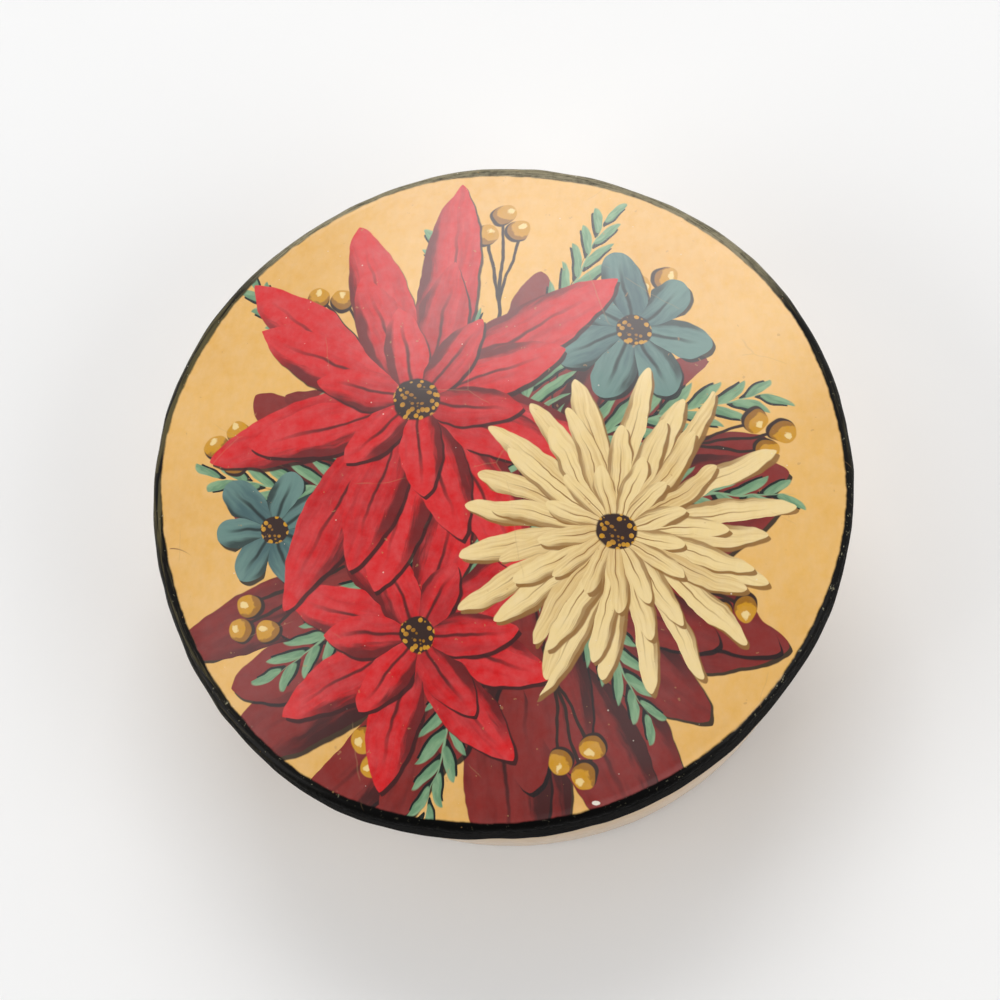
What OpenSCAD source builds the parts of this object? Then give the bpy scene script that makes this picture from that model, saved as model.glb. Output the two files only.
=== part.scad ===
// Round lacquered trinket box of papier-mache, with a domed cap lid that lifts off.
// The base is a wound paper tube with a disc glued under a shoulder at its foot.
// The lid is a pressed, domed panel glued into the rebate of a wound rim.
// Units are millimetres. The origin is the middle of the foot, +Z is up.

/* [Base] */
// Outer diameter of the base wall
base_d = 94; // [70:1:130]
// Height of the base wall, from the foot to the edge that carries the lid
base_h = 32.5; // [20:0.5:70]
// Thickness of the base wall
wall_t = 3; // [2.4:0.1:5]
// Thickness of the floor disc
floor_t = 2.6; // [1.5:0.1:5]
// Height of the floor disc above the foot
foot_recess = 0.8; // [0.4:0.1:2]
// Width of the shoulder that the floor disc is glued under
shoulder_w = 1.2; // [0.8:0.1:1.4]
// Rounding of the foot's outer edge
foot_round = 0.8; // [0.2:0.1:0.8]
// Rounding of both edges at the top of the wall
mouth_round = 0.6; // [0.2:0.1:1]

/* [Lid] */
// Thickness of the lid's rim below the panel
rim_t = 3.4; // [2:0.1:5]
// Width of the rim's rounded top, between the panel and the outside
rim_top_w = 1.5; // [0.8:0.1:1.7]
// Depth of the rim below the edge that carries the lid
skirt_h = 4.5; // [3:0.5:14]
// Rounding of both lower edges of the rim
skirt_round = 0.7; // [0.2:0.1:0.9]
// Gap all round between the rim and the base wall
lid_gap = 0.6; // [0.3:0.1:1]
// Thickness of the panel at its edge
panel_edge_t = 2.2; // [2:0.1:4]
// Thickness of the panel in the middle
panel_t = 2.4; // [1.6:0.1:3]
// Rise of the dome above the panel's edge
dome_rise = 4; // [2:0.5:10]
// Width of the panel's flat underside inside the base wall
flange_w = 0.8; // [0.4:0.1:2]

/* [Fits] */
// Gap all round a disc that is glued into its rebate
glue_gap = 0.1; // [0:0.05:0.2]

/* [Lining] */
// Thickness of the lining laid on the floor
lining_t = 1; // [0.6:0.1:2]
// Gap between the lining's edge and the base wall
lining_gap = 0.3; // [0.2:0.1:1]

/* [Hidden] */
$fn = 180;

// Facets of the wide dome arcs, of which only a short stretch is used
dome_fn = 1440;

// Radii, from the inside out
base_r = base_d / 2;
wall_in_r = base_r - wall_t;
foot_in_r = wall_in_r + shoulder_w;
floor_r = foot_in_r - glue_gap;
lining_r = wall_in_r - lining_gap;
rim_in_r = base_r + lid_gap;
lid_r = rim_in_r + rim_t;
rebate_r = lid_r - rim_top_w;
panel_r = rebate_r - glue_gap;
hollow_r = wall_in_r - flange_w;

// Heights, from the foot up
floor_top = foot_recess + floor_t;
seat_z = base_h;
skirt_z = seat_z - skirt_h;
rim_top = seat_z + panel_edge_t;
crown_z = rim_top + dome_rise;

// Rise of the hollow under the dome, which leaves panel_t in the middle
hollow_rise = crown_z - panel_t - seat_z;

// Radius of the arc that rises by rise over a half chord of half_w
function arc_r(half_w, rise) = (half_w * half_w + rise * rise) / (2 * rise);

ochre = [0.85, 0.66, 0.38];
black = [0.06, 0.06, 0.06];
wine = [0.38, 0.06, 0.08];

// The waste outside a rounded corner at the origin: the solid lies toward (dx, dy)
module corner_waste(r, dx, dy) {
    spare = r / 10;
    difference() {
        translate([dx > 0 ? -spare : -r, dy > 0 ? -spare : -r])
            square(r + spare);
        translate([dx * r, dy * r])
            circle(r);
    }
}

// Wide disc on the axis whose edge passes half_w at the height low and rises by rise to its crown
module dome_disc(half_w, low, rise) {
    r = arc_r(half_w, rise);
    translate([0, low + rise - r])
        circle(r, $fn = dome_fn);
}

// Wound tube with rounded edges and, at its foot, a rebate for the floor disc
module base_wall() {
    color(ochre)
        rotate_extrude()
            difference() {
                translate([wall_in_r, 0])
                    square([wall_t, base_h]);
                translate([0, -foot_recess])
                    square([foot_in_r, floor_top + foot_recess]);
                translate([base_r, 0])
                    corner_waste(foot_round, -1, 1);
                translate([base_r, base_h])
                    corner_waste(mouth_round, -1, -1);
                translate([wall_in_r, base_h])
                    corner_waste(mouth_round, 1, -1);
            }
}

// Pressed disc that closes the foot, glued up against the wall's shoulder
module base_floor() {
    color(black)
        translate([0, 0, foot_recess])
            cylinder(h = floor_t, r = floor_r);
}

// Cut disc of felt, laid on the floor
module floor_lining() {
    color(wine)
        translate([0, 0, floor_top])
            cylinder(h = lining_t, r = lining_r);
}

// Wound ring that caps the base, rebated on top to hold the panel
module lid_rim() {
    color(black)
        rotate_extrude()
            difference() {
                translate([rim_in_r, skirt_z])
                    square([rim_t, rim_top - skirt_z]);
                translate([0, seat_z])
                    square([rebate_r, 2 * panel_edge_t]);
                translate([lid_r, rim_top])
                    corner_waste(rim_top_w, -1, -1);
                translate([lid_r, skirt_z])
                    corner_waste(skirt_round, -1, 1);
                translate([rim_in_r, skirt_z])
                    corner_waste(skirt_round, 1, 1);
            }
}

// Pressed panel, domed above and hollowed below, flat where it rests on the wall
module lid_panel() {
    color(ochre)
        rotate_extrude()
            difference() {
                intersection() {
                    translate([0, seat_z])
                        square([panel_r, 2 * (crown_z - seat_z)]);
                    dome_disc(panel_r, rim_top, dome_rise);
                }
                dome_disc(hollow_r, seat_z, hollow_rise);
            }
}

base_wall();
base_floor();
floor_lining();
lid_rim();
lid_panel();
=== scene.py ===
import math

import bpy
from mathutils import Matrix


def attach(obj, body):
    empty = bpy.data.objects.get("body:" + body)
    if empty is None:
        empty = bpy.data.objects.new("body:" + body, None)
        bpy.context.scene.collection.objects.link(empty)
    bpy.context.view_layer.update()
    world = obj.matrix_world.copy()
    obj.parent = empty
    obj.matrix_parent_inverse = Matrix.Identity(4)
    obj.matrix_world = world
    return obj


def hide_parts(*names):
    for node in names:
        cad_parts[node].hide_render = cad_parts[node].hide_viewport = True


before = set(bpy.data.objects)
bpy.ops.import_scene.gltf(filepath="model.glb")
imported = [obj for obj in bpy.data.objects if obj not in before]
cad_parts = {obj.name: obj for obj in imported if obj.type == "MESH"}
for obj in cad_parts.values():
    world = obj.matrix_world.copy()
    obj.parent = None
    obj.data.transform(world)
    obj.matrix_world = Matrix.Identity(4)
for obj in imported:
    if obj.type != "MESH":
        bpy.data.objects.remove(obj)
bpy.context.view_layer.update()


# Base wall: a strip of pasted paper wound round a former into a tube, rubbed down by hand,
# with a rebate at the foot for the floor. Ochre outside and black inside, under clear lacquer.
class Socket:
    """A socket of a node tree. Arithmetic on it adds Math nodes, and node() adds any other."""

    def __init__(self, tree, socket=None):
        self.tree, self.socket = tree, socket

    def node(self, kind, settings=None, sockets=None, out=0):
        made = self.tree.nodes.new(kind)
        for name, value in (settings or {}).items():
            setattr(made, name, value)
        for name, value in (sockets or {}).items():
            if isinstance(value, Socket):
                self.tree.links.new(value.socket, made.inputs[name])
            else:
                made.inputs[name].default_value = value
        return Socket(self.tree, made.outputs[out] if made.outputs else None)

    def also(self, out):
        """Another output of the same node."""
        return Socket(self.tree, self.socket.node.outputs[out])

    def maths(self, operation, *others):
        return self.node("ShaderNodeMath", {"operation": operation}, dict(enumerate((self, *others))))

    def __add__(self, other):
        return self.maths("ADD", other)

    def __sub__(self, other):
        return self.maths("SUBTRACT", other)

    def __rsub__(self, other):
        return self.node("ShaderNodeMath", {"operation": "SUBTRACT"}, {0: other, 1: self})

    def __mul__(self, other):
        return self.maths("MULTIPLY", other)

    def __truediv__(self, other):
        return self.maths("DIVIDE", other)

    def __rtruediv__(self, other):
        return self.node("ShaderNodeMath", {"operation": "DIVIDE"}, {0: other, 1: self})

    def __pow__(self, other):
        return self.maths("POWER", other)

    def __mod__(self, other):
        return self.maths("FLOORED_MODULO", other)

    def __abs__(self):
        return self.maths("ABSOLUTE")

    __radd__, __rmul__ = __add__, __mul__

    def ramp(self, low, high):
        """0 at low and 1 at high, eased at both ends."""
        eased = {"interpolation_type": "SMOOTHSTEP"}
        return self.node("ShaderNodeMapRange", eased, {0: self, 1: low, 2: high})

    def mix(self, below, above):
        """The colour above laid over the colour below, as thick as this value."""
        return self.node("ShaderNodeMix", {"data_type": "RGBA"}, {0: self, 6: below, 7: above}, out=2)

    def noise(self, scale, detail=2.0, rough=0.5):
        """Cloudy variation of this place, with scale features to a unit."""
        sockets = {"Vector": self, "Scale": scale, "Detail": detail, "Roughness": rough}
        return self.node("ShaderNodeTexNoise", {}, sockets)

    def point(self, x=0.0, y=0.0, z=0.0):
        """A place from three values."""
        return self.node("ShaderNodeCombineXYZ", {}, {0: x, 1: y, 2: z})

    def stretched(self, x, y, z):
        """This place with each of its axes scaled."""
        return self.node("ShaderNodeVectorMath", {"operation": "MULTIPLY"}, {0: self, 1: (x, y, z)})

    def bump(self, strength, distance):
        """The surface's normal with this height on it, distance in metres."""
        sockets = {"Strength": strength, "Distance": distance, "Height": self}
        return self.node("ShaderNodeBump", {}, sockets)


def finish_of(name, **fixed):
    """A new material, as its tree, its shader node and the place on the piece in millimetres."""
    material = bpy.data.materials.new(name)
    material.use_nodes = True
    shader = material.node_tree.nodes["Principled BSDF"]
    for socket, value in fixed.items():
        shader.inputs[socket.replace("_", " ")].default_value = value
    tree = Socket(material.node_tree)
    metres = tree.node("ShaderNodeTexCoord", out="Object")
    place = tree.node("ShaderNodeVectorMath", {"operation": "SCALE"}, {"Vector": metres, "Scale": 1000})
    return material, shader, place


def lay(shader, **sockets):
    """Links values to the shader's sockets."""
    for name, value in sockets.items():
        value.tree.links.new(value.socket, shader.inputs[name.replace("_", " ")])


def axes(place):
    """The x, y and z of a place."""
    parts = place.node("ShaderNodeSeparateXYZ", {}, {0: place})
    return parts, parts.also("Y"), parts.also("Z")


def span(x, y):
    """The distance of a place from a middle."""
    return (x * x + y * y) ** 0.5


def straight(start, end, steps):
    """Points (radius, height) on a straight stretch, both ends among them."""
    return [tuple(a + (b - a) * i / steps for a, b in zip(start, end)) for i in range(steps + 1)]


def arc(r, z, radius, start, end, steps=10):
    """Points (radius, height) on a rounded edge, from one angle to another, in degrees."""
    turns = [math.radians(start + (end - start) * i / steps) for i in range(steps + 1)]
    return [(r + radius * math.cos(a), z + radius * math.sin(a)) for a in turns]


# The winding turns an outline round the axis. Its waver grows from nothing at the firm radius to
# its full size at the outer radius, and what lies above the level is a little uneven.
winding = bpy.data.node_groups.new("winding", "GeometryNodeTree")
for label, kind in (
    ("Outline", "NodeSocketGeometry"),
    ("Steps", "NodeSocketInt"),
    ("Around", "NodeSocketInt"),
    ("Firm Radius", "NodeSocketFloat"),
    ("Outer Radius", "NodeSocketFloat"),
    ("Lumps", "NodeSocketFloat"),
    ("Unevenness", "NodeSocketFloat"),
    ("Level", "NodeSocketFloat"),
    ("Finish", "NodeSocketMaterial"),
):
    winding.interface.new_socket(label, in_out="INPUT", socket_type=kind)
winding.interface.new_socket("Piece", in_out="OUTPUT", socket_type="NodeSocketGeometry")
given = Socket(winding).node("NodeGroupInput")
sheet = given.node(
    "GeometryNodeMeshGrid",
    {},
    {"Size X": 1, "Size Y": 1, "Vertices X": given.also("Around"), "Vertices Y": given.also("Steps")},
)
turn, along, _ = axes(sheet.also("UV Map"))
turn = turn * math.tau
spot = given.node(
    "GeometryNodeSampleIndex",
    {"data_type": "FLOAT_VECTOR", "domain": "POINT"},
    {
        "Geometry": given,
        "Value": given.node("GeometryNodeInputPosition"),
        "Index": (along * (given.also("Steps") - 1)).maths("ROUND"),
    },
)
reach, _, height = axes(spot)
cosine, sine = turn.maths("COSINE"), turn.maths("SINE")
# The waver of the hand-made outline: waves to a turn, size in metres, and place
waver = 0
for waves, size, begin in (
    (2, 0.00010, 1.29),
    (3, 0.00027, 0.73),
    (4, 0.00012, -1.95),
    (5, 0.00017, 1.90),
    (6, 0.00011, -1.01),
    (7, 0.00011, -1.01),
):
    waver = waver + (turn * waves - begin).maths("COSINE") * size
firm_to_outer = {0: reach, 1: given.also("Firm Radius"), 2: given.also("Outer Radius")}
share = given.node("ShaderNodeMapRange", {}, firm_to_outer)
place = given.point(cosine, sine, height * 12)
reach = reach + (waver + (place.noise(8, 1) - 0.5) * given.also("Lumps")) * share
ring = given.point(reach * cosine, reach * sine, height)
above_level = {0: height, 1: given.also("Level"), 2: given.also("Level") + 0.002}
lump = (ring.noise(38, 2) - 0.5) * given.also("Unevenness")
lump = lump * given.node("ShaderNodeMapRange", {}, above_level)
lift = given.point(z=lump)
wound = given.node("GeometryNodeSetPosition", {}, {"Geometry": sheet, "Position": ring, "Offset": lift})
wound = given.node("GeometryNodeMergeByDistance", {}, {"Geometry": wound, "Distance": 1e-6})
wound = given.node("GeometryNodeSetShadeSmooth", {}, {"Geometry": wound})
wound = given.node("GeometryNodeRealizeInstances", {}, {"Geometry": wound})
wound = given.node("GeometryNodeSetMaterial", {}, {"Geometry": wound, "Material": given.also("Finish")})
given.node("NodeGroupOutput", {}, {"Piece": wound})


def grown(name, source, tree, inputs):
    """The plain mesh that a node tree makes of a source object, with the tree's inputs by name."""
    bpy.context.scene.collection.objects.link(source)
    modifier = source.modifiers.new(tree.name, "NODES")
    modifier.node_group = tree
    for item in tree.interface.items_tree:
        if item.name in inputs:
            modifier[item.identifier] = inputs[item.name]
    mesh = bpy.data.meshes.new_from_object(source.evaluated_get(bpy.context.evaluated_depsgraph_get()))
    bpy.data.objects.remove(source)
    mesh.name = name
    piece = bpy.data.objects.new(name, mesh)
    bpy.context.scene.collection.objects.link(piece)
    return piece


def wind(name, outline, inputs):
    """A wound or pressed round piece from its outline, (radius, height) in millimetres, up on the outside."""
    curve = bpy.data.curves.new(name, "CURVE")
    curve.dimensions = "3D"
    line = curve.splines.new("POLY")
    line.points.add(len(outline) - 1)
    for point, (r, z) in zip(line.points, outline):
        point.co = (r / 1000, 0, z / 1000, 1)
    inputs |= {"Steps": len(outline), "Around": 361}
    piece = grown(name, bpy.data.objects.new(name, curve), winding, inputs)
    piece.data.set_sharp_from_angle(angle=math.radians(40))
    return piece


faded_ochre = (0.76, 0.54, 0.31, 1)
faded_ochre_deep = (0.68, 0.46, 0.24, 1)
pale_foot_ochre = (0.80, 0.66, 0.53, 1)
rust = (0.30, 0.13, 0.03, 1)
black = (0.008, 0.0075, 0.007, 1)
thin_black = (0.018, 0.016, 0.014, 1)

wall_paint, shader, place = finish_of("ochre_lacquer")
x, y, z = axes(place)
cloud = place.noise(0.06, 3)
streak = place.stretched(0.05, 0.05, 1.2).noise(0.9, 3)
speck = place.noise(1.6, 1).ramp(0.71, 0.76)
outside = (cloud * 0.8 + streak * 0.25).ramp(0.35, 0.8).mix(faded_ochre, faded_ochre_deep)
outside = (speck * 0.35).mix(outside, rust)
# The wall's paint turns paler towards its foot
paler_foot = (z + (place.noise(0.3, 4) - 0.5) * 4).ramp(8, 1) * 0.7
outside = paler_foot.mix(outside, pale_foot_ochre)
inward = (span(x, y) + (cloud - 0.5) * 0.8).ramp(46.1, 45.8)
grain = place.noise(0.5, 4, 0.6)
lay(
    shader,
    Base_Color=inward.mix(outside, grain.mix(black, thin_black)),
    Roughness=grain * 0.14 + 0.1,
    Normal=(grain + place.noise(0.12, 2)).bump(0.25, 0.0002),
)

# Sizes in millimetres: radii outside, inside and in the foot's rebate, heights, and rounded edges
wall_r, wall_in_r, foot_in_r = 47, 44, 45.2
wall_h, shoulder_h = 32.5, 3.4
foot_round, mouth_round = 0.8, 0.6
mouth_z = wall_h - mouth_round
base_wall = wind(
    "base_wall_wound",
    arc(wall_r - foot_round, foot_round, foot_round, 270, 360)
    + straight((wall_r, 2), (wall_r, wall_h - 1.5), 12)
    + arc(wall_r - mouth_round, mouth_z, mouth_round, 0, 90)
    + arc(wall_in_r + mouth_round, mouth_z, mouth_round, 90, 180)
    + [(wall_in_r, shoulder_h), (foot_in_r, shoulder_h), (foot_in_r, 0), (wall_r - foot_round, 0)],
    {
        "Firm Radius": wall_in_r / 1000,
        "Outer Radius": 0.053,
        "Lumps": 0.0006,
        "Unevenness": 0.0,
        "Level": 1.0,
        "Finish": wall_paint,
    },
)
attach(base_wall, "base")
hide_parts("base_wall")


# Base floor: a disc cut from pressed paper board and glued up against the shoulder of the wall.
# It is brushed black and lacquered below; its upper side is hidden by the lining.
dusty_black = (0.022, 0.019, 0.016, 1)
scuff_and_sheen_black = (0.09, 0.075, 0.06, 1)

floor_paint, shader, place = finish_of("black_lacquer")
stroke = place.stretched(0.12, 1.6, 1.0).noise(0.8, 4, 0.6)
grain = place.noise(0.6, 4, 0.6)
scuff = (place.noise(0.09, 3) + stroke * 0.5).ramp(0.86, 0.98) * 0.3
lay(
    shader,
    Base_Color=scuff.mix(stroke.mix(black, dusty_black), scuff_and_sheen_black),
    Roughness=grain * 0.2 + 0.14 + scuff * 0.6,
    Normal=(stroke + grain).bump(0.3, 0.0002),
)
base_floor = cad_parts["base_floor"]
base_floor.data.materials.clear()
base_floor.data.materials.append(floor_paint)


# Floor lining: a disc of wool felt, cut with scissors and laid loose on the floor.
# Matt wine red, with a napped face and a soft, slightly wavering edge.
wine_shade = (0.075, 0.006, 0.010, 1)
wine_nap = (0.23, 0.022, 0.032, 1)

felt, shader, place = finish_of(
    "wine_felt",
    Sheen_Weight=0.5,
    Sheen_Roughness=0.6,
    Sheen_Tint=(0.75, 0.35, 0.38, 1),
    Specular_IOR_Level=0.15,
)
nap = place.noise(2.6, 5, 0.7)
matted = place.noise(0.25, 3)
lay(
    shader,
    Base_Color=(nap * 0.7 + matted * 0.5).ramp(0.35, 0.85).mix(wine_shade, wine_nap),
    Roughness=nap * 0.15 + 0.82,
    Normal=(nap + matted).bump(0.8, 0.0004),
)

lining_r, lining_low, lining_top = 43.7, 3.42, 4.4
edge_r = lining_r - 0.05
cut_round, nap_round = 0.2, 0.4
floor_lining = wind(
    "felt_disc",
    [(0, lining_low)]
    + arc(edge_r - cut_round, lining_low + cut_round, cut_round, 270, 360, 5)
    + arc(edge_r - nap_round, lining_top - nap_round, nap_round, 0, 90, 6)
    + straight((lining_r - 1.5, lining_top), (0, lining_top), 40),
    {
        "Firm Radius": 0.040,
        "Outer Radius": 0.058,
        "Lumps": 0.001,
        "Unevenness": 0.0004,
        "Level": 0.0036,
        "Finish": felt,
    },
)
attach(floor_lining, "base")
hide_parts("floor_lining")


# Lid rim: a narrow strip of pasted paper wound into a ring, rebated on top for the panel and
# rounded over by hand. Brushed black and chipped along its edges, with painted shade on its near side,
# painted highlight streaks on its left and a painted grey reflection on its far side.
rim_r, rim_in_r, rebate_r = 51, 47.6, 49.5
skirt_z, seat_z = 28, 32.5
skirt_round, top_round = 0.7, 1.5
top_z = 33.2
deep_black = (0.001, 0.001, 0.0009, 1)
warm_black = (0.008, 0.007, 0.0058, 1)
brush_olive = (0.060, 0.053, 0.028, 1)
worn_olive = (0.170, 0.140, 0.060, 1)
reflection_grey = (0.32, 0.28, 0.175, 1)
fleck_grey = (0.27, 0.25, 0.16, 1)
bare_paper = (0.44, 0.35, 0.23, 1)


def black_edge(place):
    """The rim's black: where it lies, outward of its wavering edge, its colour with painted shade, highlight
    and reflection, its grain and its flecks.
    """
    x, y, z = axes(place)
    turn, radius = y.maths("ARCTAN2", x), span(x, y)
    # The waver of its painted edge: waves to a turn, size in millimetres, and place
    line = rebate_r
    for waves, size, begin in (
        (1, 0.29, -0.49),
        (2, 0.165, -1.20),
        (3, 0.285, 0.85),
        (4, 0.105, -1.82),
        (5, 0.16, 2.62),
        (6, 0.17, -0.54),
        (10, 0.085, -0.80),
    ):
        line = (turn * waves - begin).maths("COSINE") * size + line
    away = radius - line + (place.noise(0.5, 3) - 0.5) * 0.5
    # The near side gets a deeper black as painted shade and keeps few flecks; flecks gather to its left and
    # right.
    # The left side carries painted highlight streaks and is worn to olive, the far side carries a painted
    # grey reflection broken up like rubbed paint, and the lower edge is chipped to the paper.
    near_right = (x * 0.014 - y * 0.014).ramp(0.3, 0.95)
    near_left = (x * -0.014 - y * 0.014).ramp(0.3, 0.95)
    fleck = (place.noise(1.3, 3, 0.7) + (near_right * 0.05 + near_left * 0.03)).ramp(0.66, 0.74)
    # Painted shade: the near side's black is kept deeper, and fewer flecks show there
    near_shade_few_flecks = (x * 0.1 - y).ramp(40, 47)
    fleck = fleck * abs(away - 0.45).ramp(1.0, 0.1) * z.ramp(33.7, 34.1) * (1 - near_shade_few_flecks * 0.9)
    grain = place.noise(1.1, 4, 0.65)
    around = place.point(turn * 9, radius * 3.2, z * 3.2)
    streak = around.noise(1.7, 5, 0.7)
    # Painted highlight: fine grey streaks along the left side of the rim
    left_sheen_streaks = streak.ramp(0.55, 0.75) * x.ramp(-15, -40)
    far_left = (y - x * 0.6).ramp(-35, 0)
    brushed = around.noise(1.0, 4, 0.6).ramp(0.54, 0.74) * far_left
    left = (y * 0.5 - x).ramp(42, 56) * y.ramp(32, 26)
    worn = (around.noise(0.4, 4, 0.65) + left * 0.1).ramp(0.5, 0.68) * z.ramp(32.4, 34.0) * far_left
    chipped = (z + (place.noise(1.4, 4, 0.7) - 0.5) * 1.3).ramp(28.75, 28.55)
    chipped = chipped * place.noise(0.35, 5, 0.75).ramp(0.5, 0.58)
    # Painted reflection: a grey haze of the window on the far side's rounded top
    far_painted_reflection = y.ramp(27, 38) * (streak + grain * 0.35).ramp(0.42, 0.8)
    far_painted_reflection = far_painted_reflection * (z + (streak - 0.5) * 1.6).ramp(33.2, 34.0)
    # Painted shade: the grain is damped on the near side, so its black reads deeper there
    tone = (grain * (1 - near_shade_few_flecks * 0.85)).mix(deep_black, warm_black)
    tone = (left_sheen_streaks * 0.8).mix(tone, scuff_and_sheen_black)
    tone = (brushed * 0.6).mix(tone, brush_olive)
    tone = (worn * 0.5).mix(tone, worn_olive)
    tone = (chipped * 0.8).mix(tone, bare_paper)
    tone = (far_painted_reflection * 0.85).mix(tone, reflection_grey)
    tone = (fleck * 0.8).mix(tone, fleck_grey)
    return away.ramp(-0.17, 0.17), tone, grain, fleck


rim_paint, shader, place = finish_of("black_rim_lacquer", Specular_IOR_Level=0.05)
_, tone, grain, fleck = black_edge(place)
_, _, z = axes(place)
lacquered = (z + (grain - 0.5) * 1.2).ramp(33.4, 34.0)
lay(
    shader,
    Base_Color=tone,
    Roughness=grain * 0.25 + 0.75 - lacquered * 0.55,
    Normal=(grain - fleck * 0.5).bump(0.6, 0.0003),
)

# Between these angles, in degrees, the rounded top is cut back, because the panel's paint covers it there
film_from, film_to, film_bed = 44, 81, 0.1
joint_z = 34.6
skirt_edge_z = skirt_z + skirt_round
lid_rim = wind(
    "lid_rim_wound",
    arc(rim_in_r + skirt_round, skirt_edge_z, skirt_round, 180, 270)
    + arc(rim_r - skirt_round, skirt_edge_z, skirt_round, 270, 360)
    + straight((rim_r, skirt_z + 1.5), (rim_r, seat_z), 4)
    + arc(rebate_r, top_z, top_round, 0, film_from)
    + arc(rebate_r, top_z, top_round - film_bed, film_from + 1, film_to, 6)
    + [(rebate_r, joint_z - 0.02), (rebate_r, seat_z), (rim_in_r, seat_z), (rim_in_r, skirt_edge_z)],
    {
        "Firm Radius": rim_in_r / 1000,
        "Outer Radius": rim_r / 1000,
        "Lumps": 0.0006,
        "Unevenness": 0.00015,
        "Level": 0.033,
        "Finish": rim_paint,
    },
)
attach(lid_rim, "lid")
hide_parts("lid_rim")


# Lid panel: paper board pressed to a shallow dome and glued into the rim's rebate. It is primed,
# painted by hand with a bunch of winter flowers on ochre, and flooded with clear gloss lacquer.
panel_paint, shader, place = finish_of("painted_lacquer", Specular_IOR_Level=0.05, Coat_Roughness=0.19)
x, y, z = axes(place)
radius = span(x, y)
half_grey = {0: place.noise(0.17, 2).also("Color"), 1: (0.5, 0.5, 0.5)}
tremble = place.node("ShaderNodeVectorMath", {"operation": "SUBTRACT"}, half_grey)
trembling = {0: tremble, 1: (1.8, 1.8, 0), 2: place}
hand = place.node("ShaderNodeVectorMath", {"operation": "MULTIPLY_ADD"}, trembling)

ochre = (0.755, 0.445, 0.140, 1)
ochre_deep = (0.69, 0.385, 0.108, 1)
cloud = place.noise(0.035, 3)
mottle = place.noise(0.5, 4, 0.6)
picture = (cloud * 0.8 + mottle * 0.25).ramp(0.35, 0.8).mix(ochre, ochre_deep)


def stencil(name, *numbers):
    """A node group that paints a shape over a picture: its tree, its inputs, the place from its middle."""
    tree = bpy.data.node_groups.new(name, "ShaderNodeTree")
    tree.interface.new_socket("Hand", in_out="INPUT", socket_type="NodeSocketVector")
    for label in ("Picture", "Light", "Deep", "Line"):
        tree.interface.new_socket(label, in_out="INPUT", socket_type="NodeSocketColor")
    for label in ("X", "Y", *numbers):
        tree.interface.new_socket(label, in_out="INPUT", socket_type="NodeSocketFloat")
    tree.interface.new_socket("Painted", in_out="OUTPUT", socket_type="NodeSocketColor")
    given = Socket(tree).node("NodeGroupInput").also
    # A trace of the picture below goes into the place, so that the shapes are worked out one after another
    trace = {0: given("Picture"), 1: (1e-9, 1e-9, 1e-9), 2: given("Hand")}
    traced = given("Hand").node("ShaderNodeVectorMath", {"operation": "MULTIPLY_ADD"}, trace)
    x, y, _ = axes(traced)
    return tree, given, x - given("X"), y - given("Y")


def fan(given, x, y, bend=0.012):
    """A ring of strokes: how far along and across its stroke a place lies, its reach, number and bearing."""
    far, bearing, count = span(x, y), y.maths("ARCTAN2", x), given("Count")
    part = bearing * count / math.tau + given("Turn")
    which = (part + 0.5).maths("FLOOR")
    own = (((which % count) * 12.9898 + given("Seed")).maths("SINE") * 437.585).maths("FRACT")
    reach = given("Reach") * ((own * 17.31).maths("FRACT") * 0.24 + 0.88)
    lean = ((part - which) * math.tau + (own - 0.5) * 0.9) / count + (own - 0.5) * bend * far
    return far * lean.maths("COSINE"), far * lean.maths("SINE"), reach, own, bearing - lean


# A ring of petals: each is a lens with brush streaks, a dark stroke down one side, a rib and a cast shadow
petal_ring, given, x_off, y_off = stencil(
    "petal_ring", "Count", "Reach", "Breadth", "Turn", "Seed", "Blunt", "Strands"
)
along, across, reach, own, bearing = fan(given, x_off, y_off)


def lens(along, across):
    """How far along a petal a place lies, as a share of it, and how far inside its edge."""
    part = (along / reach).maths("MAXIMUM", 0).maths("MINIMUM", 1)
    return part, part**0.62 * (1 - part) ** given("Blunt") * given("Breadth") - abs(across)


cast_x, cast_y = 0.45, -0.55
cosine, sine = bearing.maths("COSINE"), bearing.maths("SINE")
_, shade = lens(along - cosine * cast_x - sine * cast_y, across + sine * cast_x - cosine * cast_y)
painted = (shade.ramp(0, 0.25) * 0.95).mix(given("Picture"), given("Line"))
part, edge = lens(along, across)
brush = along.point(along * 0.12, across * given("Strands"), own * 40 + given("Seed")).noise(1.0, 3, 0.6)
tone = (brush * 0.9 + own * 0.3 + part * 0.3 - 0.2).ramp(0.2, 0.75).mix(given("Deep"), given("Light"))
fold = (across / (edge + abs(across) + 0.05) + (brush - 0.5) * 1.1 - part * 0.25).ramp(0.28, 0.62)
tone = (fold * part.ramp(0.97, 0.7) * 0.8).mix(tone, given("Line"))
rib = abs(across + 0.1).ramp(0.3 / given("Strands"), 0.08) * part.ramp(0.9, 0.5)
tone = (rib * 0.85).mix(tone, given("Line"))
part.node("NodeGroupOutput", {}, {"Painted": edge.ramp(0.0, 0.2).mix(painted, tone)})

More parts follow.
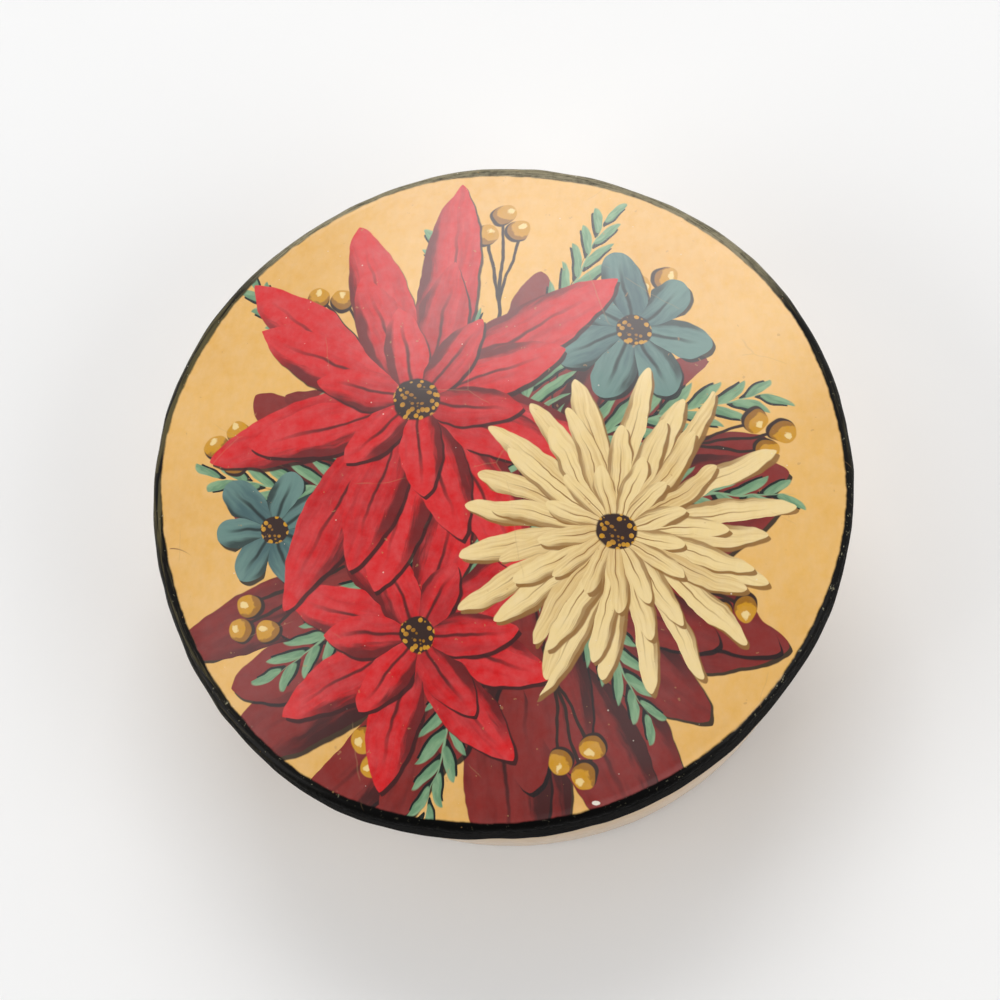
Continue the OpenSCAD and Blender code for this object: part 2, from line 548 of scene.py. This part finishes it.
# A ring of leafy sprigs: leaves in steps along a tapering stem, each with a dark stroke under it
sprig_ring, given, x_off, y_off = stencil(
    "sprig_ring", "Count", "Reach", "Turn", "Seed", "Step", "Length", "Breadth"
)
along, across, reach, own, _ = fan(given, x_off, y_off, 0.008)
step = along - abs(across) * 1.5 + across.maths("SIGN") * given("Step") * 0.25
which = (step / given("Step")).maths("FLOOR")
lie = (step - (which + 0.5) * given("Step")) * 0.55
size = (1.35 - which * given("Step") / reach) * given("Length")
part = (abs(across) * 1.8 / size).maths("MINIMUM", 1)
half = part**0.45 * (1 - part) ** 0.8 * given("Breadth")
within = step.ramp(6.0, 6.4) * (reach - (which + 0.5) * given("Step")).ramp(-0.05, 0.05)
taper = (1 - along / reach).maths("MAXIMUM", 0) ** 0.5 * 0.55
shade = (half - abs(lie + 0.5)).ramp(0, 0.15) * within
shade = shade.maths("MAXIMUM", (taper - abs(across - 0.4)).ramp(0.12, 0.3))
painted = shade.mix(given("Picture"), given("Line"))
painted = (taper - abs(across)).ramp(0, 0.2).mix(painted, given("Light"))
brush = along.point(part * 2, lie * 1.8, which + own * 30).noise(1.0, 3, 0.6)
tone = (brush + lie * 0.2).ramp(0.3, 0.7).mix(given("Deep"), given("Light"))
leaf = (half - abs(lie)).ramp(0, 0.18) * within
part.node("NodeGroupOutput", {}, {"Painted": leaf.mix(painted, tone)})

# A ring of berries, three to a twig, each with a dark side and a touch of light
gleam = (0.85, 0.66, 0.30, 1)
berry_ring, given, x_off, y_off = stencil("berry_ring", "Count", "Reach", "Turn", "Seed", "Size")
along, across, _, own, _ = fan(given, x_off, y_off, 0)
along, size, painted = along - given("Reach") - own * 5, given("Size"), given("Picture")
dab = x_off.point(x_off, y_off).noise(0.9, 2) - 0.5
berries = ((2.2, 0.0), (-1.2, 2.3), (-0.6, -2.4))
for out, off in berries:
    twig = abs(across - off * along.ramp(-14, 0)).ramp(0.32, 0.16)
    twig = twig * (along - out).ramp(0.2, -0.2) * along.ramp(-17, -16.6)
    painted = twig.mix(painted, given("Line"))
for out, off in berries:
    a, b = along - out, across - off
    lit = span(a - size * 0.3, b + size * 0.35) + dab * size * 0.8
    tone = lit.ramp(size, size * 0.8).mix(given("Deep"), given("Light"))
    tone = (lit.ramp(size * 0.34, size * 0.2) * 0.8).mix(tone, gleam)
    shade = span(a + 0.3, b - 0.4)
    painted = shade.ramp(size + 0.1, size - 0.1).mix(painted, given("Line"))
    painted = span(a, b).ramp(size, size - 0.2).mix(painted, tone)
own.node("NodeGroupOutput", {}, {"Painted": painted})

# The stippled heart of a flower
heart, given, x_off, y_off = stencil("flower_heart", "Size")
ball = span(x_off, y_off) / given("Size")
dots = ball.node("ShaderNodeTexVoronoi", {}, {"Vector": ball.point(x_off, y_off), "Scale": 1.1})
tone = dots.ramp(0.45, 0.36).mix(given("Line"), ball.ramp(0.3, 0.9).mix(given("Deep"), given("Light")))
ball.node("NodeGroupOutput", {}, {"Painted": ball.ramp(1.0, 0.9).mix(given("Picture"), tone)})


def paint(picture, shape, at, colours, **sizes):
    """One shape painted over the picture round a point on the lid."""
    light, deep, line = colours
    sizes |= {"Hand": hand, "Picture": picture, "X": at[0], "Y": at[1]}
    sizes |= {"Light": light, "Deep": deep, "Line": line}
    return picture.node("ShaderNodeGroup", {"node_tree": shape}, sizes)


def petals(picture, at, colours, ring, blunt, strands):
    """A ring of petals painted over the picture: their count, reach, breadth, turn and seed."""
    names = ("Count", "Reach", "Breadth", "Turn", "Seed")
    sizes = dict(zip(names, ring))
    return paint(picture, petal_ring, at, colours, Blunt=blunt, Strands=strands, **sizes)


greens = (0.22, 0.36, 0.20, 1), (0.12, 0.24, 0.13, 1), (0.006, 0.010, 0.008, 1)
reds = (0.62, 0.026, 0.028, 1), (0.40, 0.015, 0.018, 1), (0.040, 0.006, 0.006, 1)
wines = (0.22, 0.022, 0.018, 1), (0.12, 0.013, 0.011, 1), (0.012, 0.006, 0.006, 1)
creams = (0.80, 0.61, 0.29, 1), (0.62, 0.41, 0.16, 1), (0.26, 0.125, 0.030, 1)
golds = (0.56, 0.27, 0.018, 1), (0.30, 0.125, 0.010, 1), (0.030, 0.012, 0.008, 1)
teals = (0.13, 0.23, 0.20, 1), (0.050, 0.105, 0.110, 1), (0.006, 0.010, 0.010, 1)

# The bunch, from the back forward: broad dark leaves, sprigs and berries, then the flowers
for at, strands, ring in (
    ((1, -17), 0.6, (10, 44, 15.0, 0.1, 1.3)),
    ((1, -17), 0.6, (11, 42, 14.0, 0.5, 7.4)),
    ((4, -10), 0.7, (10, 39, 12.5, 0.3, 2.2)),
    ((4, -10), 0.8, (9, 31, 11.5, 0.75, 6.6)),
):
    picture = petals(picture, at, wines, ring, 0.6, strands)
sprigs = {"Count": 9, "Reach": 45, "Turn": 0.2, "Seed": 3.1, "Step": 4.2, "Length": 9, "Breadth": 2}
picture = paint(picture, sprig_ring, (0, -1), greens, **sprigs)
picture = paint(picture, berry_ring, (0, -1), golds, Count=9, Reach=38, Turn=0.7, Seed=5.7, Size=1.8)
for at, reach, turn, seed in (((19, 23), 12, 0.1, 8.3), ((-31, -9), 10, 0.4, 2.3)):
    picture = petals(picture, at, teals, (7, reach, reach * 0.54, turn, seed), 0.45, 0.7)
    picture = paint(picture, heart, at, golds, Size=reach * 0.22)
for at, size, rings in (
    ((-9, -24), 2.8, ((8, 21, 10.0, 0.3, 4.4), (6, 13, 7.6, 0.0, 6.1))),
    ((-12, 11), 3.6, ((9, 33, 12.0, 0.15, 1.7), (8, 25, 10.5, 0.45, 9.2), (6, 15, 8.0, 0.2, 3.9))),
):
    for ring in rings:
        picture = petals(picture, at, reds, ring, 0.7, 0.8)
    picture = paint(picture, heart, at, golds, Size=size)
at = (18, -8)
for ring in ((21, 24, 4.2, 0.0, 7.7), (18, 18, 3.8, 0.5, 2.9), (13, 11, 3.2, 0.2, 5.3)):
    picture = petals(picture, at, creams, ring, 0.5, 3)
picture = paint(picture, heart, at, golds, Size=3)

# The colours lie a little unevenly, as opaque paint does
stroke = hand.stretched(1.0, 0.35, 1.0).noise(1.1, 4, 0.65)
uneven = {"Value": stroke * 0.12 + 0.94, "Saturation": mottle * 0.2 + 0.9, "Color": picture}
picture = place.node("ShaderNodeHueSaturation", {}, uneven)

# The black edge, and rubs and knocks: a chip to the primer, a hair in the lacquer, scratches, specks and dust
primer = (0.74, 0.68, 0.58, 1)
hair_brown = (0.16, 0.07, 0.03, 1)
scratch_brown = (0.42, 0.26, 0.12, 1)
speck_brown = (0.45, 0.24, 0.09, 1)
dust = (0.80, 0.72, 0.60, 1)
# The black edge brings the rim's painted shade, painted highlight streaks and painted reflection onto the
# panel
edge, tone, _, fleck = black_edge(place)
picture = (fleck * 0.8).mix(edge.mix(picture, tone), fleck_grey)
chip_x, chip_y = x - 17.0, y + 46.0
chip = (chip_x * chip_x + chip_y * chip_y * 3) ** 0.5
chip = (chip + (place.noise(1.5, 2) - 0.5) * 0.5).ramp(0.60, 0.44)
picture = chip.mix(picture, primer)
hair_x, hair_y = x + 45.2, y + 11.9
hair = abs(hair_y + hair_x * 0.3 + hair_x * hair_x * 0.115).ramp(0.14, 0.03)
hair = hair * abs(hair_x - 0.2).ramp(2.0, 1.6) * hair_x.ramp(2.4, -1.2)
picture = (hair * 0.8).mix(picture, hair_brown)
cracks = {"Vector": hand, "Scale": 0.045}
scratch = hand.node("ShaderNodeTexVoronoi", {"feature": "DISTANCE_TO_EDGE"}, cracks)
scratch = scratch.ramp(0.0045, 0.001) * place.noise(0.09, 2).ramp(0.57, 0.62)
picture = (scratch * 0.2).mix(picture, scratch_brown)
speck = place.noise(0.75, 2, 0.7).ramp(0.715, 0.74)
picture = (speck * 0.4).mix(picture, speck_brown)
nib = place.node("ShaderNodeTexVoronoi", {}, {"Vector": place, "Scale": 0.55})
nib_own, _, nib_size = axes(nib.also("Color"))
nib = (nib / (nib_size * 0.06 + 0.03)).ramp(1.0, 0.6) * nib_own.ramp(0.72, 0.73)
picture = (nib * 0.5).mix(picture, dust)

# Sizes in millimetres: the crowns of the dome and of the hollow under it, and the radii of their arcs
crown, dome_arc = 38.7, 307.0
hollow_r, hollow_crown, hollow_arc = 43.2, 36.3, 247.5
upper = (z + radius * radius / (2 * dome_arc)).ramp(crown - 1.4, crown - 1.1)
picture = upper.mix(mottle.mix(black, dusty_black), picture)
peel = place.noise(0.22, 2)
lay(
    shader,
    Base_Color=picture,
    Roughness=mottle * 0.2 + 0.3,
    Coat_Weight=(1 - edge * upper * 0.9) * (1 - chip * 0.9),
    Normal=(peel + mottle * 0.15 - chip * 1.5 + nib * 1.5).bump(0.12, 0.0002),
)


def dished(top, bend, r):
    """A point (radius, height) of a shallow round rise, from its crown and the radius of its arc."""
    return r, top - bend + (bend**2 - r**2) ** 0.5


# The paint and lacquer run over the joint as a thin film onto the rounded top of the rim
film_t = 0.08
film = arc(rebate_r, top_z, top_round - film_t, film_to, film_from + 2, 6)
film += arc(rebate_r, top_z, top_round, film_from + 0.3, film_to, 12)
hollow_steps, dome_steps = 24, 66
lid_panel = wind(
    "lid_panel_pressed",
    [dished(hollow_crown, hollow_arc, hollow_r * i / hollow_steps) for i in range(hollow_steps + 1)]
    + [(rebate_r, seat_z), (rebate_r, joint_z)]
    + film
    + [dished(crown, dome_arc, rebate_r * i / dome_steps) for i in range(dome_steps, -1, -1)],
    {
        "Firm Radius": rim_in_r / 1000,
        "Outer Radius": rim_r / 1000,
        "Lumps": 0.0006,
        "Unevenness": 0.00015,
        "Level": 0.033,
        "Finish": panel_paint,
    },
)
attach(lid_panel, "lid")
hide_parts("lid_panel")


# Floor and light: a pale table top, a soft overhead sky that is brighter on the far side,
# and five soft lamps: a window beyond the box, one to each side, and two small ones above.
table_pale, table_paler = (0.865, 0.862, 0.855, 1), (0.885, 0.882, 0.875, 1)
bpy.ops.mesh.primitive_circle_add(vertices=96, radius=6, fill_type="NGON")
table = bpy.context.object
table.name = "table"
table_paint, shader, place = finish_of("pale_table", Roughness=0.75, Specular_IOR_Level=0.2)
lay(shader, Base_Color=place.noise(0.02, 3).mix(table_pale, table_paler))
table.data.materials.append(table_paint)

dim_sky, bright_sky = (0.22, 0.22, 0.22, 1), (0.95, 0.96, 0.98, 1)
world = bpy.data.worlds.new("sky")
bpy.context.scene.world = world
world.use_nodes = True
sky = Socket(world.node_tree)
_, far, up = axes(sky.node("ShaderNodeTexCoord", out="Generated"))
glow = far.ramp(-0.6, 0.6) * (1 - up.ramp(0.68, 0.95) * 0.75)
background = world.node_tree.nodes["Background"]
lay(background, Color=glow.mix(dim_sky, bright_sky))
background.inputs["Strength"].default_value = 1.0

for name, place_m, wide, deep_m, watts in (
    ("window", (-0.02, 0.85, 1.02), 0.8, 0.6, 6.0),
    ("left", (-1.10, -0.45, 0.80), 0.9, 0.9, 6.4),
    ("right", (1.10, -0.45, 0.80), 0.9, 0.9, 6.4),
    ("ceiling_left", (-0.50, 0.05, 1.05), 0.22, 0.22, 0.2),
    ("ceiling_right", (0.09, -0.02, 1.10), 0.22, 0.18, 0.12),
):
    lamp = bpy.data.lights.new(name, "AREA")
    lamp.shape, lamp.size, lamp.size_y, lamp.energy = "RECTANGLE", wide, deep_m, watts
    light = bpy.data.objects.new(name, lamp)
    light.location = place_m
    light.rotation_euler = (-light.location).to_track_quat("-Z", "Y").to_euler()
    bpy.context.scene.collection.objects.link(light)

view = bpy.data.cameras.new("camera")
view.lens, view.sensor_width, view.clip_start = 76.24, 36, 0.01
camera = bpy.data.objects.new("camera", view)
camera.location = (0.03852, -0.09910, 0.32136)
camera.rotation_euler = (math.radians(18.879), math.radians(6.198), math.radians(3.801))
bpy.context.scene.collection.objects.link(camera)
bpy.context.scene.camera = camera
bpy.context.scene.view_settings.view_transform = "Standard"
